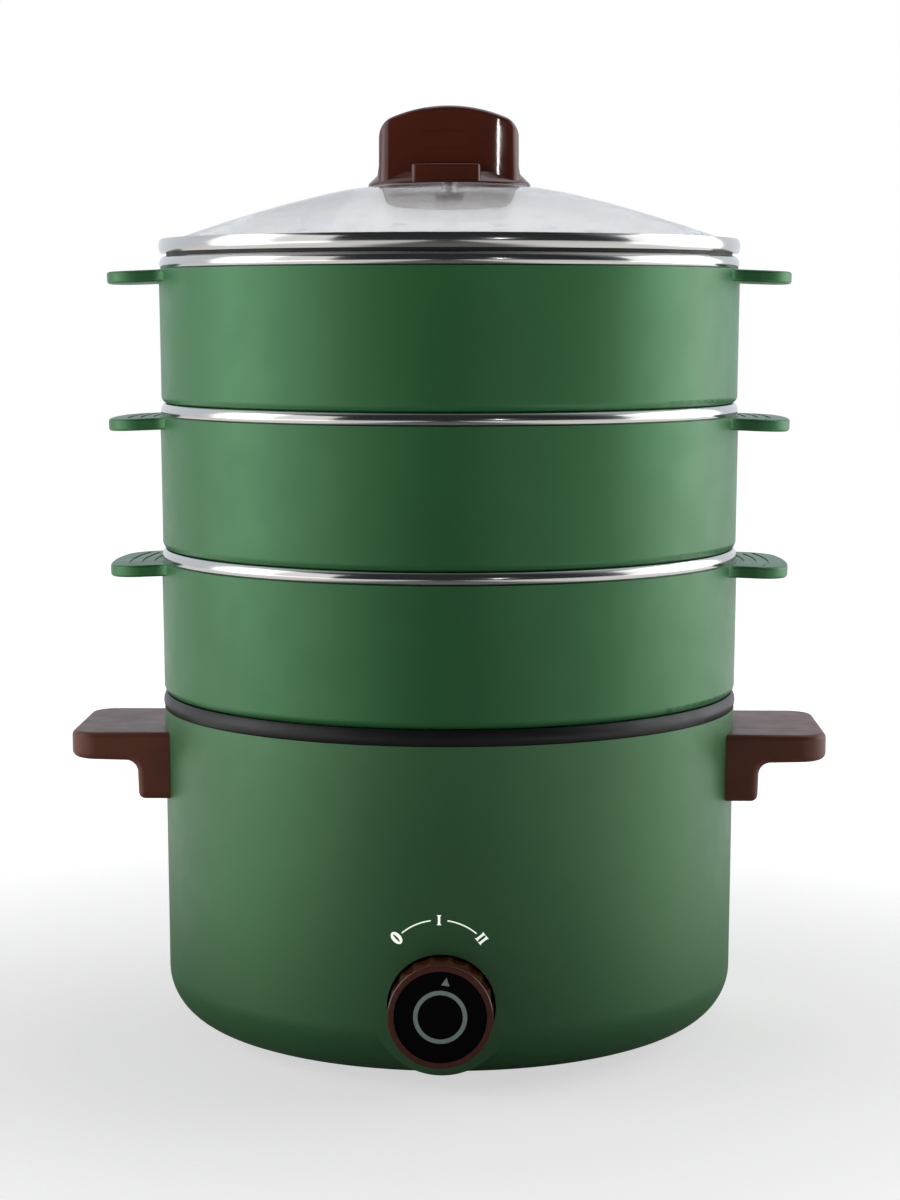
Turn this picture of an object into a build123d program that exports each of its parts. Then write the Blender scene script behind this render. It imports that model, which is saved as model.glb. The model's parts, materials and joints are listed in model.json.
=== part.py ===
from build123d import *

import os
from math import asin, cos, degrees, pi, radians, sin, sqrt, tan

os.makedirs("parts", exist_ok=True)

# Electric food steamer, in millimetres.
# The origin is on the table under the middle of the pot, +Z is up, and the dial faces -Y.

# Heights of the stack, from the table up
foot_height = 5.0
housing_height = 146.1
ring_height = 7.0
shell_height = 61.05
band_height = 5.6
seal_height = 1.8
lid_rim_height = 6.2

housing_bottom = foot_height
housing_top = housing_bottom + housing_height
stack_seat = housing_top + ring_height
tier_pitch = shell_height + band_height
tier_seats = {
    "lower": stack_seat,
    "middle": stack_seat + tier_pitch,
    "upper": stack_seat + 2 * tier_pitch,
}
lid_seat = stack_seat + 3 * tier_pitch
lid_rim_bottom = lid_seat + seal_height
lid_rim_top = lid_rim_bottom + lid_rim_height

# Radii of the round bodies
housing_top_radius = 133.1
housing_low_radius = 132.1
housing_corner_radius = 23.7
housing_wall = 2.2
ring_radius = 133.5
shell_top_radius = 133.75
shell_low_radius = 133.15
shell_corner_radius = 3.6
shell_wall = 2.2
band_radius = 133.4
lid_rim_radius = 133.7

# The mouth that every tier's skirt drops into
mouth_radius = 126.2
skirt_radius = 125.6
skirt_depth = 8.0
skirt_wall = 2.2

# Inner pot
pot_wall = 2.0
pot_floor_bottom = 57.0
pot_floor_thickness = 3.0
pot_corner_radius = 18.0
pot_flange_radius = 131.4
pot_flange_thickness = 2.0

# Steel trays
tray_wall = 0.8
tray_floor_lift = 5.0
tray_corner_radius = 8.0
steam_hole_radius = 3.0
steam_hole_rings = 6
steam_ring_spacing = 18.0

# Ears of the tiers
ear_tip_radius = 157.4
ear_half_width = 38.6
ear_corner_radius = 15.0
ear_root_radius = 7.0
ear_thickness = 5.4
ear_drop = 0.4
ear_droop = 2.3
ear_edge_radius = 1.2
groove_radii = (150.4, 144.7, 139.0)
groove_half_angles = (12.2, 10.3, 7.6)
groove_width = 1.7
groove_depth = 0.45

# Handles of the base
handle_top = 141.5
grip_thickness = 13.2
handle_half_width = 39.0
handle_reach = 173.8
handle_corner_radius = 12.5
grip_rise = 0.8
leg_bottom = 110.6
leg_outer = 142.5
leg_fillet = 5.5
handle_top_edge = 2.5
handle_low_edge = 3.2
handle_screw_height = 126.0
handle_screw_angle = 11.0
handle_screw_radius = 1.9

# Dial, whose axis runs along -Y
dial_height = 38.6
dial_radius = 22.4
dial_front = 147.5
dial_back = 124.6
dial_flutes = 18
dial_face_radius = 19.6
dial_lip_inner = 19.7
dial_shaft_radius = 3.0
boss_radius = 30.3
well_radius = 23.3
well_floor = 123.0
well_wall = 2.2

# Glass lid
glass_thickness = 4.0
glass_apex = 391.6
glass_crown_flat = 13.5
glass_inner_curve = 198.0
glass_outer_curve = 612.0
glass_curve_change = 60.0
glass_dome_radius = 125.5
glass_brim_radius = 130.0
glass_edge_radius = 132.2
vent_radius_from_axis = 98.0
vent_angle = 46.0
vent_hole_radius = 2.5

# Lid knob
knob_seat = 390.1
knob_top = 426.4
knob_half_width = 32.0
knob_base_half_width = 33.1
knob_arch_radius = 69.0
knob_shoulder_radius = 10.0
knob_corner_radius = 8.0
knob_top_edge = 2.5
knob_taper = 2.0
knob_half_depth = 18.2
knob_face_curve = 130.0
grip_line_heights = (407.3, 415.0)
grip_line_depth = 0.5
knob_flange_half_width = 37.4
knob_flange_half_depth = 25.4
knob_flange_height = 6.5
knob_flange_edge = 1.5
knob_flange_slope = 5.2
knob_flange_round = 2.0
knob_block_width = 31.4
knob_block_side = -1.0
knob_block_depth = 15.4
knob_block_corner = 2.6
knob_block_top = 399.9

# Mains inlet at the back
inlet_height = 38.6
inlet_pad_half_width = 27.0
inlet_pad_half_height = 14.0
inlet_pad_back = 126.5
inlet_face = 132.9
inlet_flange = 2.6
inlet_body_width = 27.0
inlet_body_height = 20.0
inlet_screw_points = ((-20, 0), (20, 0))
inlet_screw_radius = 1.45

# Rotary switch behind the dial
bush_radius = 4.8

# Heater and frame inside the base
element_radius = 70.0
element_tube = 3.25
element_gap_angle = 14.0
post_radius = 3.5
post_circle = 45.0
post_angles = (30.0, 150.0, 270.0)
shield_radius = 96.0
shield_bottom = 46.0
cover_radius = 106.0
cover_thickness = 2.4
cover_opening = 98.0
foot_circle = 88.0
wire_radius = 1.1
screw_clearance = 0.05

# Long enough to cut through any wall of the base
cut_through = 30.0

dial_axis = Axis((0, 0, dial_height), (0, -1, 0))
housing_draft = (housing_top_radius - housing_low_radius) / (housing_height - housing_corner_radius)


def front_plane(depth):
    """Plane facing the viewer, its origin on the dial's axis, depth in front of the pot's axis."""
    return Plane(origin=(0, -depth, dial_height), x_dir=(1, 0, 0), z_dir=(0, -1, 0))


def back_plane(depth):
    """Plane facing away from the viewer, its origin level with the inlet."""
    return Plane(origin=(0, depth, inlet_height), x_dir=(-1, 0, 0), z_dir=(0, 1, 0))


def radial_plane(angle, radius, height):
    """Plane facing outwards at an angle from +X, at a radius from the pot's axis."""
    outwards = (cos(radians(angle)), sin(radians(angle)), 0)
    along = (-sin(radians(angle)), cos(radians(angle)), 0)
    centre = (radius * outwards[0], radius * outwards[1], height)
    return Plane(origin=centre, x_dir=along, z_dir=outwards)


def polar_point(radius, angle):
    """Point in plan at a radius and an angle in degrees."""
    return (radius * cos(radians(angle)), radius * sin(radians(angle)))


def away_from_axis(edge):
    """Distance in plan from the pot's axis to the middle of an edge."""
    middle = edge.position_at(0.5)
    return sqrt(middle.X ** 2 + middle.Y ** 2)


# Housing: drafted shell with a rounded bottom corner, a round boss for the dial and a pad for the inlet

def housing_radius(height):
    """Outer radius of the drafted housing wall at a height."""
    return housing_top_radius - (housing_top - height) * housing_draft


with BuildPart() as dial_boss:
    with BuildSketch(Plane.XY.offset(dial_height)):
        with BuildLine():
            boss_edge = 3.5
            boss_back = 112.0
            boss_front = housing_radius(dial_height) + 0.3
            Polyline((0, -boss_back), (0, -boss_front), (boss_radius - boss_edge, -boss_front))
            JernArc((boss_radius - boss_edge, -boss_front), (1, 0), boss_edge, 90)
            Polyline((boss_radius, boss_edge - boss_front), (boss_radius, -boss_back), (0, -boss_back))
        make_face()
    revolve(axis=dial_axis)
    with BuildSketch(Plane.XZ):
        with BuildLine():
            Polyline(
                (0, 0),
                (housing_radius(0), 0),
                (housing_radius(housing_top), housing_top),
                (0, housing_top),
                close=True,
            )
        make_face()
    revolve(axis=Axis.Z, mode=Mode.INTERSECT)

with BuildPart() as housing:
    corner_centre = housing_bottom + housing_corner_radius
    bottom_flat = housing_low_radius - housing_corner_radius
    with BuildSketch(Plane.XZ):
        with BuildLine():
            Polyline((0, housing_top), (0, housing_bottom), (bottom_flat, housing_bottom))
            RadiusArc(
                (bottom_flat, housing_bottom), (housing_low_radius, corner_centre), -housing_corner_radius
            )
            Polyline((housing_low_radius, corner_centre), (housing_top_radius, housing_top), (0, housing_top))
        make_face()
    revolve(axis=Axis.Z)
    add(dial_boss.part)
    with BuildSketch(back_plane(inlet_pad_back)):
        RectangleRounded(2 * inlet_pad_half_width, 2 * inlet_pad_half_height, 3)
    extrude(amount=inlet_face - inlet_pad_back)
    lip_top = housing_bottom + 2 * cover_thickness - 0.2
    inner_corner = housing_corner_radius - housing_wall
    inner_low = housing_low_radius - housing_wall
    lip_rise = corner_centre - lip_top
    lip_radius = inner_low - inner_corner + sqrt(inner_corner ** 2 - lip_rise ** 2)
    with BuildSketch(Plane.XZ):
        with BuildLine():
            Polyline((0, housing_top), (0, lip_top), (lip_radius, lip_top))
            RadiusArc((lip_radius, lip_top), (inner_low, corner_centre), -inner_corner)
            Polyline(
                (inner_low, corner_centre), (housing_top_radius - housing_wall, housing_top), (0, housing_top)
            )
        make_face()
    revolve(axis=Axis.Z, mode=Mode.SUBTRACT)
    with BuildSketch(Plane.XY.offset(housing_bottom)):
        Circle(cover_opening)
    extrude(amount=2 * cover_thickness, mode=Mode.SUBTRACT)
    with BuildSketch(Plane.XY.offset(housing_bottom)):
        Circle(cover_radius + 0.4)
    extrude(amount=cover_thickness, mode=Mode.SUBTRACT)
    with BuildSketch(front_plane(well_floor)):
        Circle(well_radius)
    extrude(amount=cut_through, mode=Mode.SUBTRACT)
    with BuildSketch(front_plane(well_floor - 6)):
        Circle(bush_radius + 0.1)
    extrude(amount=8, mode=Mode.SUBTRACT)
    with BuildSketch(back_plane(110)):
        RectangleRounded(inlet_body_width + 0.4, inlet_body_height + 0.4, 2)
        with Locations(*inlet_screw_points):
            Circle(inlet_screw_radius + screw_clearance)
    extrude(amount=cut_through, mode=Mode.SUBTRACT)
    for side in (0, 180):
        for turn in (-handle_screw_angle, handle_screw_angle):
            with BuildSketch(radial_plane(side + turn, 120, handle_screw_height)):
                Circle(handle_screw_radius + 0.3)
            extrude(amount=20, mode=Mode.SUBTRACT)
housing.part.label = "housing"
export_step(housing.part, "parts/housing.step")


# Black ring between the housing and the lowest tier, with a ledge for the pot's flange

ledge = stack_seat - pot_flange_thickness
recess = pot_flange_radius + 0.2
spigot_outer = 130.6
spigot_inner = 128.6
spigot_bottom = 146.5

with BuildPart() as rim_ring:
    with BuildSketch(Plane.XZ):
        with BuildLine():
            Polyline((132.0, stack_seat), (recess, stack_seat), (recess, ledge), (spigot_inner, ledge))
            Polyline((spigot_inner, ledge), (spigot_inner, spigot_bottom), (spigot_outer, spigot_bottom))
            Polyline((spigot_outer, spigot_bottom), (spigot_outer, housing_top), (132.7, housing_top))
            ThreePointArc((132.7, housing_top), (ring_radius, 154.3), (132.0, stack_seat))
        make_face()
    revolve(axis=Axis.Z)
rim_ring.part.label = "rim_ring"
export_step(rim_ring.part, "parts/rim_ring.step")


# Inner pot: non-stick pan whose flange hangs in the black ring

with BuildPart() as inner_pot:
    pot_outer = mouth_radius + pot_wall
    lip_round = 1.0
    with BuildSketch(Plane.XZ):
        with BuildLine():
            corner = pot_corner_radius + pot_wall
            inner_floor = pot_floor_bottom + pot_floor_thickness
            Polyline((0, inner_floor), (0, pot_floor_bottom), (pot_outer - corner, pot_floor_bottom))
            RadiusArc(
                (pot_outer - corner, pot_floor_bottom), (pot_outer, pot_floor_bottom + corner), -corner
            )
            Polyline(
                (pot_outer, pot_floor_bottom + corner),
                (pot_outer, ledge),
                (pot_flange_radius, ledge),
                (pot_flange_radius, stack_seat),
                (mouth_radius + lip_round, stack_seat),
            )
            RadiusArc(
                (mouth_radius + lip_round, stack_seat), (mouth_radius, stack_seat - lip_round), -lip_round
            )
            Line((mouth_radius, stack_seat - lip_round), (mouth_radius, inner_floor + pot_corner_radius))
            RadiusArc(
                (mouth_radius, inner_floor + pot_corner_radius),
                (mouth_radius - pot_corner_radius, inner_floor),
                pot_corner_radius,
            )
            Line((mouth_radius - pot_corner_radius, inner_floor), (0, inner_floor))
        make_face()
    revolve(axis=Axis.Z)
inner_pot.part.label = "inner_pot"
export_step(inner_pot.part, "parts/inner_pot.step")


# Posts under the pot, which the bottom cover is screwed to, one with a tag for the earth wire

collar_top = shield_bottom
collar_bottom = shield_bottom - 1.6
collar_radius = 5.0
post_screw_radius = 1.6
post_screw_depth = 12.0
post_screw_head = 4.0
head_thickness = 2.2
cover_top = housing_bottom + cover_thickness
post_points = [polar_point(post_circle, angle) for angle in post_angles]
earth_tag_height = 25.0
earth_tag_end = 34.0

with BuildPart() as pot_posts:
    with BuildSketch(Plane.XY.offset(cover_top)):
        with Locations(*post_points):
            Circle(post_radius)
    extrude(amount=pot_floor_bottom - cover_top)
    with BuildSketch(Plane.XY.offset(collar_bottom)):
        with Locations(*post_points):
            Circle(collar_radius)
    extrude(amount=collar_top - collar_bottom)
    with BuildSketch(Plane.XY.offset(cover_top)):
        with Locations(*post_points):
            Circle(post_screw_radius + screw_clearance)
    extrude(amount=post_screw_depth, mode=Mode.SUBTRACT)
    tag_start = post_points[0][1] + post_radius - 0.5
    with Locations((post_points[0][0], (tag_start + earth_tag_end) / 2, earth_tag_height)):
        Box(4.8, earth_tag_end - tag_start, 0.8)
pot_posts.part.label = "pot_posts"
export_step(pot_posts.part, "parts/pot_posts.step")

with BuildPart() as bottom_screws:
    with BuildSketch(Plane.XY.offset(housing_bottom - head_thickness)):
        with Locations(*post_points):
            Circle(post_screw_head)
    extrude(amount=head_thickness)
    chamfer(bottom_screws.edges().group_by(Axis.Z)[0], 0.6)
    with BuildSketch(Plane.XY.offset(housing_bottom)):
        with Locations(*post_points):
            Circle(post_screw_radius)
    extrude(amount=post_screw_depth)
    with BuildSketch(Plane.XY.offset(housing_bottom - head_thickness)):
        with Locations(*post_points):
            Rectangle(5.0, 0.9)
            Rectangle(0.9, 5.0)
    extrude(amount=head_thickness / 2, mode=Mode.SUBTRACT)
bottom_screws.part.label = "bottom_screws"
export_step(bottom_screws.part, "parts/bottom_screws.step")


# Bottom cover: flat disc with air slots, recessed in the housing

foot_points = {
    "front_left": polar_point(foot_circle, 225),
    "front_right": polar_point(foot_circle, 315),
    "rear_left": polar_point(foot_circle, 135),
    "rear_right": polar_point(foot_circle, 45),
}

with BuildPart() as bottom_cover:
    with BuildSketch(Plane.XY.offset(housing_bottom)):
        Circle(cover_radius)
        with PolarLocations(68, 16, start_angle=11.25):
            SlotOverall(22, 3.2, mode=Mode.SUBTRACT)
        with PolarLocations(24, 8):
            SlotOverall(16, 3.2, mode=Mode.SUBTRACT)
        with Locations(*post_points):
            Circle(2.0, mode=Mode.SUBTRACT)
        with Locations(*foot_points.values()):
            Circle(2.5, mode=Mode.SUBTRACT)
    extrude(amount=cover_thickness)
    outer_edges = bottom_cover.edges().filter_by(GeomType.CIRCLE).sort_by(SortBy.RADIUS)[-2:]
    chamfer(outer_edges.sort_by(Axis.Z)[0], 0.5)
bottom_cover.part.label = "bottom_cover"
export_step(bottom_cover.part, "parts/bottom_cover.step")


# Rubber feet with barbed stems pushed through the cover

foot_tread = 6.2
foot_shoulder = 8.0
stem_radius = 2.4
barb_radius = 3.1
stem_top = cover_top + 2.0

for corner_name, foot_point in foot_points.items():
    with BuildPart() as foot:
        with BuildSketch(Plane.XZ):
            with BuildLine():
                Polyline((0, 0), (foot_tread, 0), (foot_tread + 0.8, 0.8), (foot_shoulder, housing_bottom))
                Polyline((foot_shoulder, housing_bottom), (stem_radius, housing_bottom))
                Polyline((stem_radius, housing_bottom), (stem_radius, cover_top), (barb_radius, cover_top))
                Line((barb_radius, cover_top), (1.8, stem_top))
                Polyline((1.8, stem_top), (0, stem_top), (0, 0))
            make_face()
        revolve(axis=Axis.Z)
    with BuildPart(Plane(origin=(foot_point[0], foot_point[1], 0))) as placed_foot:
        add(foot.part)
    placed_foot.part.label = f"{corner_name}_foot"
    export_step(placed_foot.part, f"parts/{corner_name}_foot.step")


# Heating element: tube bent to an open ring under the pot, with two cold ends going down to blades

element_height = pot_floor_bottom - element_tube
element_ends = [polar_point(element_radius, turn) for turn in (-element_gap_angle, element_gap_angle)]
blade_height = 42.0
blade_end = 78.0
blade_width = 4.8
blade_thickness = 0.8

with BuildPart() as heating_element:
    with BuildLine():
        CenterArc((0, 0, element_height), element_radius, element_gap_angle, 360 - 2 * element_gap_angle)
    ring_start = radial_plane(element_gap_angle + 90, 0, 0).z_dir
    with BuildSketch(Plane(origin=(*element_ends[1], element_height), z_dir=ring_start)):
        Circle(element_tube)
    sweep()
    for end_x, end_y in element_ends:
        with Locations((end_x, end_y, element_height)):
            Sphere(element_tube)
        with BuildSketch(Plane.XY.offset(blade_height)):
            with Locations((end_x, end_y)):
                Circle(element_tube)
        extrude(amount=element_height - blade_height)
        with Locations(((end_x + blade_end) / 2, end_y, blade_height + blade_thickness)):
            Box(blade_end - end_x, blade_width, blade_thickness)
heating_element.part.label = "heating_element"
export_step(heating_element.part, "parts/heating_element.step")


# Thermostat under the middle of the pot, with a blade on each side

with BuildPart() as thermostat:
    thermostat_bottom = 42.0
    with BuildSketch(Plane.XY.offset(thermostat_bottom)):
        Circle(8.5)
    extrude(amount=pot_floor_bottom - thermostat_bottom)
    fillet(thermostat.edges().group_by(Axis.Z)[0], 0.8)
    with Locations((0, 0, thermostat_bottom + 1.4)):
        Box(30, blade_width, blade_thickness)
thermostat.part.label = "thermostat"
export_step(thermostat.part, "parts/thermostat.step")


# Heat shield: thin tray on the posts' collars

with BuildPart() as heat_shield:
    shield_sheet = 0.8
    with BuildSketch(Plane.XY.offset(shield_bottom)):
        Circle(shield_radius)
        Circle(10, mode=Mode.SUBTRACT)
        with Locations(*post_points):
            Circle(post_radius + 0.1, mode=Mode.SUBTRACT)
        with Locations(*element_ends):
            Circle(5.0, mode=Mode.SUBTRACT)
    extrude(amount=shield_sheet)
    with BuildSketch(Plane.XY.offset(shield_bottom)):
        Circle(shield_radius)
        Circle(shield_radius - shield_sheet, mode=Mode.SUBTRACT)
    extrude(amount=6.0)
heat_shield.part.label = "heat_shield"
export_step(heat_shield.part, "parts/heat_shield.step")


# Thermal fuse in its sleeve, held against the underside of the shield

fuse_radius = 2.6
fuse_height = shield_bottom - fuse_radius
fuse_x = -30.0
fuse_back = 42.0
fuse_front = 20.0

with BuildPart() as thermal_fuse:
    with BuildSketch(Plane(origin=(fuse_x, fuse_back, fuse_height), x_dir=(1, 0, 0), z_dir=(0, -1, 0))):
        Circle(fuse_radius)
    extrude(amount=fuse_back - fuse_front)
    chamfer(thermal_fuse.edges(), 0.5)
thermal_fuse.part.label = "thermal_fuse"
export_step(thermal_fuse.part, "parts/thermal_fuse.step")


# Rotary switch behind the dial's well, its bush through the well's floor, held by a nut

switch_front = well_floor - well_wall
switch_back = 101.0
bush_front = 126.8
switch_tab_x = 8.0
switch_tab_end = 93.0
shaft_socket = 103.0
shaft_back = 104.0
shaft_front = 142.4

with BuildPart() as rotary_switch:
    with BuildSketch(front_plane(switch_back)):
        RectangleRounded(27, 27, 2)
    extrude(amount=switch_front - switch_back)
    with BuildSketch(front_plane(switch_front)):
        Circle(bush_radius)
    extrude(amount=bush_front - switch_front)
    with BuildSketch(front_plane(shaft_socket)):
        Circle(dial_shaft_radius + 0.05)
    extrude(amount=bush_front - shaft_socket, mode=Mode.SUBTRACT)
    with BuildSketch(front_plane(switch_tab_end)):
        with Locations((-switch_tab_x, 0), (switch_tab_x, 0)):
            Rectangle(0.8, 6.3)
    extrude(amount=switch_back - switch_tab_end)
rotary_switch.part.label = "rotary_switch"
export_step(rotary_switch.part, "parts/rotary_switch.step")

with BuildPart() as switch_nut:
    with BuildSketch(front_plane(well_floor)):
        RegularPolygon(7.0, 6, major_radius=False)
        Circle(bush_radius, mode=Mode.SUBTRACT)
    extrude(amount=2.4)
switch_nut.part.label = "switch_nut"
export_step(switch_nut.part, "parts/switch_nut.step")


# Dial: fluted knob with a black face, on a shaft that turns in the switch

front_web = dial_front - 1.8
dial_bore = 19.8
hub_radius = 5.5
hub_back = 127.6
web_back = 142.0

with BuildPart() as dial_knob:
    with BuildSketch(Plane.XY.offset(dial_height)):
        with BuildLine():
            lip_curve = 0.9
            Polyline((0, -front_web), (dial_lip_inner, -front_web), (dial_lip_inner, -dial_front))
            Line((dial_lip_inner, -dial_front), (dial_radius - lip_curve, -dial_front))
            RadiusArc(
                (dial_radius - lip_curve, -dial_front), (dial_radius, lip_curve - dial_front), -lip_curve
            )
            Polyline((dial_radius, lip_curve - dial_front), (dial_radius, -dial_back))
            Polyline((dial_radius, -dial_back), (dial_bore, -dial_back), (dial_bore, -web_back))
            Line((dial_bore, -web_back), (hub_radius, -web_back))
            Polyline((hub_radius, -web_back), (hub_radius, -hub_back), (0, -hub_back), (0, -front_web))
        make_face()
    revolve(axis=dial_axis)
    with BuildSketch(front_plane(dial_back)):
        flute_curve = 14.0
        flute_depth = 0.75
        with PolarLocations(dial_radius + flute_curve - flute_depth, dial_flutes, start_angle=90):
            Circle(flute_curve)
    extrude(amount=dial_front - lip_curve - dial_back, mode=Mode.SUBTRACT)
    with BuildSketch(front_plane(shaft_back)):
        Circle(dial_shaft_radius)
    extrude(amount=shaft_front - shaft_back, mode=Mode.SUBTRACT)
dial_knob.part.label = "dial_knob"
export_step(dial_knob.part, "parts/dial_knob.step")

with BuildPart() as dial_face:
    with BuildSketch(front_plane(front_web)):
        Circle(dial_face_radius)
    extrude(amount=1.4)
    chamfer(dial_face.edges().group_by(Axis.Y)[0], 0.3)
dial_face.part.label = "dial_face"
export_step(dial_face.part, "parts/dial_face.step")

with BuildPart() as dial_shaft:
    with BuildSketch(front_plane(shaft_back)):
        Circle(dial_shaft_radius)
    extrude(amount=shaft_front - shaft_back)
dial_shaft.part.label = "dial_shaft"
export_step(dial_shaft.part, "parts/dial_shaft.step")


# Mains inlet: socket with three blades, held to the pad by two screws

socket_floor = 119.0
socket_half_width = 12.2
socket_half_height = 8.5
socket_corner_start = 4.8
inlet_back = 114.0
blade_back = 108.0
blade_tip = 132.0
blade_points = ((-7, -1), (7, -1), (0, 3))
inlet_front = inlet_face + inlet_flange
head_seat_depth = inlet_front - 1.5
inlet_screw_head = 2.8
inlet_screw_back = 124.0

with BuildPart() as power_inlet:
    with BuildSketch(back_plane(inlet_back)):
        RectangleRounded(inlet_body_width, inlet_body_height, 2)
    extrude(amount=inlet_face - inlet_back)
    with BuildSketch(back_plane(inlet_face)):
        RectangleRounded(50, 24, 5)
    extrude(amount=inlet_flange)
    chamfer(power_inlet.edges().group_by(Axis.Y)[-1], 0.5)
    with BuildSketch(back_plane(socket_floor)):
        with BuildLine():
            Polyline((0, -socket_half_height), (socket_half_width, -socket_half_height))
            Polyline((socket_half_width, -socket_half_height), (socket_half_width, socket_corner_start))
            Polyline((socket_half_width, socket_corner_start), (socket_half_height, socket_half_height))
            Polyline((socket_half_height, socket_half_height), (0, socket_half_height))
            mirror(about=Plane.YZ)
        make_face()
    extrude(amount=20, mode=Mode.SUBTRACT)
    with BuildSketch(back_plane(inlet_back)):
        with Locations(*blade_points):
            Rectangle(2, 4)
    extrude(amount=10, mode=Mode.SUBTRACT)
    with BuildSketch(back_plane(inlet_face)):
        with Locations(*inlet_screw_points):
            Circle(inlet_screw_radius + 0.15)
    extrude(amount=5, mode=Mode.SUBTRACT)
    with BuildSketch(back_plane(head_seat_depth)):
        with Locations(*inlet_screw_points):
            Circle(inlet_screw_head + 0.1)
    extrude(amount=5, mode=Mode.SUBTRACT)
power_inlet.part.label = "power_inlet"
export_step(power_inlet.part, "parts/power_inlet.step")

with BuildPart() as inlet_blades:
    with BuildSketch(back_plane(blade_back)):
        with Locations(*blade_points):
            Rectangle(2, 4)
    extrude(amount=blade_tip - blade_back)
inlet_blades.part.label = "inlet_blades"
export_step(inlet_blades.part, "parts/inlet_blades.step")

with BuildPart() as inlet_screws:
    with BuildSketch(back_plane(inlet_screw_back)):
        with Locations(*inlet_screw_points):
            Circle(inlet_screw_radius)
    extrude(amount=head_seat_depth - inlet_screw_back)
    with BuildSketch(back_plane(head_seat_depth)):
        with Locations(*inlet_screw_points):
            Circle(inlet_screw_head)
    extrude(amount=1.4)
    with BuildSketch(back_plane(inlet_front - 0.9)):
        with Locations(*inlet_screw_points):
            Rectangle(3.4, 0.7)
            Rectangle(0.7, 3.4)
    extrude(amount=2, mode=Mode.SUBTRACT)
inlet_screws.part.label = "inlet_screws"
export_step(inlet_screws.part, "parts/inlet_screws.step")


# Handles of the base: a flat grip with a leg that follows the housing, screwed on from inside

with BuildPart() as right_handle:
    handle_inside = 110.0
    grip_bottom = handle_top - grip_thickness
    with BuildSketch(Plane.XZ):
        with BuildLine():
            Polyline(
                (handle_inside, handle_top),
                (handle_reach + 6, handle_top),
                (handle_reach + 6, grip_bottom + grip_rise),
                (leg_outer, grip_bottom),
                (leg_outer - 0.6, leg_bottom),
                (handle_inside, leg_bottom),
                close=True,
            )
        make_face()
    extrude(amount=handle_half_width, both=True)
    edges_across = right_handle.edges().filter_by(Axis.Y)
    fillet(edges_across.sort_by_distance((leg_outer, 0, grip_bottom))[0], leg_fillet)
    with BuildSketch(Plane.XY.offset(100)):
        Rectangle(2 * handle_reach, 2 * handle_half_width)
        fillet(vertices().group_by(Axis.X)[-1], handle_corner_radius)
    extrude(amount=60, mode=Mode.INTERSECT)
    with BuildSketch(Plane.XZ):
        with BuildLine():
            Polyline(
                (0, 90),
                (housing_radius(90) + 0.02, 90),
                (housing_radius(150) + 0.02, 150),
                (0, 150),
                close=True,
            )
        make_face()
    revolve(axis=Axis.Z, mode=Mode.SUBTRACT)
    for turn in (-handle_screw_angle, handle_screw_angle):
        with BuildSketch(radial_plane(turn, 120, handle_screw_height)):
            Circle(handle_screw_radius + 0.05)
        extrude(amount=22, mode=Mode.SUBTRACT)
    outline = right_handle.edges().filter_by(lambda e: away_from_axis(e) > 135.0)
    top_outline = outline.filter_by(lambda e: e.center().Z > handle_top - 0.1)
    fillet(top_outline, handle_top_edge)
    low_edge_top = grip_bottom + grip_rise + 0.1
    low_outline = right_handle.edges().filter_by(
        lambda e: away_from_axis(e) > 135.5 and e.center().Z < low_edge_top
    )
    low_outline = low_outline.filter_by(
        lambda e: e.geom_type != GeomType.CIRCLE or e.radius > handle_screw_radius + 1
    )
    fillet(low_outline, handle_low_edge)
right_handle.part.label = "right_handle"
export_step(right_handle.part, "parts/right_handle.step")

with BuildPart() as left_handle:
    mirror(right_handle.part, about=Plane.YZ)
left_handle.part.label = "left_handle"
export_step(left_handle.part, "parts/left_handle.step")

with BuildPart() as handle_screws:
    head_height = 1.9
    head_seat = housing_radius(handle_screw_height) - housing_wall - 0.15
    for side in (0, 180):
        for turn in (-handle_screw_angle, handle_screw_angle):
            with BuildSketch(radial_plane(side + turn, head_seat - head_height, handle_screw_height)):
                Circle(2 * handle_screw_radius)
            extrude(amount=head_height)
            with BuildSketch(radial_plane(side + turn, head_seat, handle_screw_height)):
                Circle(handle_screw_radius)
            extrude(amount=10.5)
handle_screws.part.label = "handle_screws"
export_step(handle_screws.part, "parts/handle_screws.step")


# Tiers: a green moulded body with two ears, and a steel tray hung in it by its rolled rim

root_circle = shell_top_radius - 0.55
ear_top = shell_height - ear_drop
ear_plane = Plane(
    origin=(0, 0, ear_top + root_circle * tan(radians(ear_droop))),
    x_dir=(cos(radians(ear_droop)), 0, -sin(radians(ear_droop))),
    z_dir=(sin(radians(ear_droop)), 0, cos(radians(ear_droop))),
)

with BuildPart() as right_ear:
    with BuildSketch(ear_plane.offset(-ear_thickness)):
        Circle(ear_tip_radius)
        Rectangle(2 * ear_tip_radius + 10, 2 * ear_half_width, mode=Mode.INTERSECT)
        fillet(vertices(), ear_corner_radius)
        Circle(root_circle)
        ear_roots = vertices().filter_by(
            lambda v: abs(abs(v.Y) - ear_half_width) < 0.5 and abs(v.X) < root_circle
        )
        fillet(ear_roots, ear_root_radius)
        Circle(root_circle - 1.3, mode=Mode.SUBTRACT)
        with Locations((ear_tip_radius, 0)):
            Rectangle(2 * (ear_tip_radius - 90), 4 * ear_half_width, mode=Mode.INTERSECT)
    extrude(amount=ear_thickness)
    rims = right_ear.edges().filter_by(lambda e: away_from_axis(e) > root_circle + 0.3)
    fillet(rims.filter_by(ear_plane), ear_edge_radius)
    with BuildSketch(ear_plane.offset(-groove_depth)):
        for groove_radius, half_angle in zip(groove_radii, groove_half_angles):
            SlotArc(CenterArc((0, 0), groove_radius, -half_angle, 2 * half_angle), groove_width)
    extrude(amount=3, mode=Mode.SUBTRACT)

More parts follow.
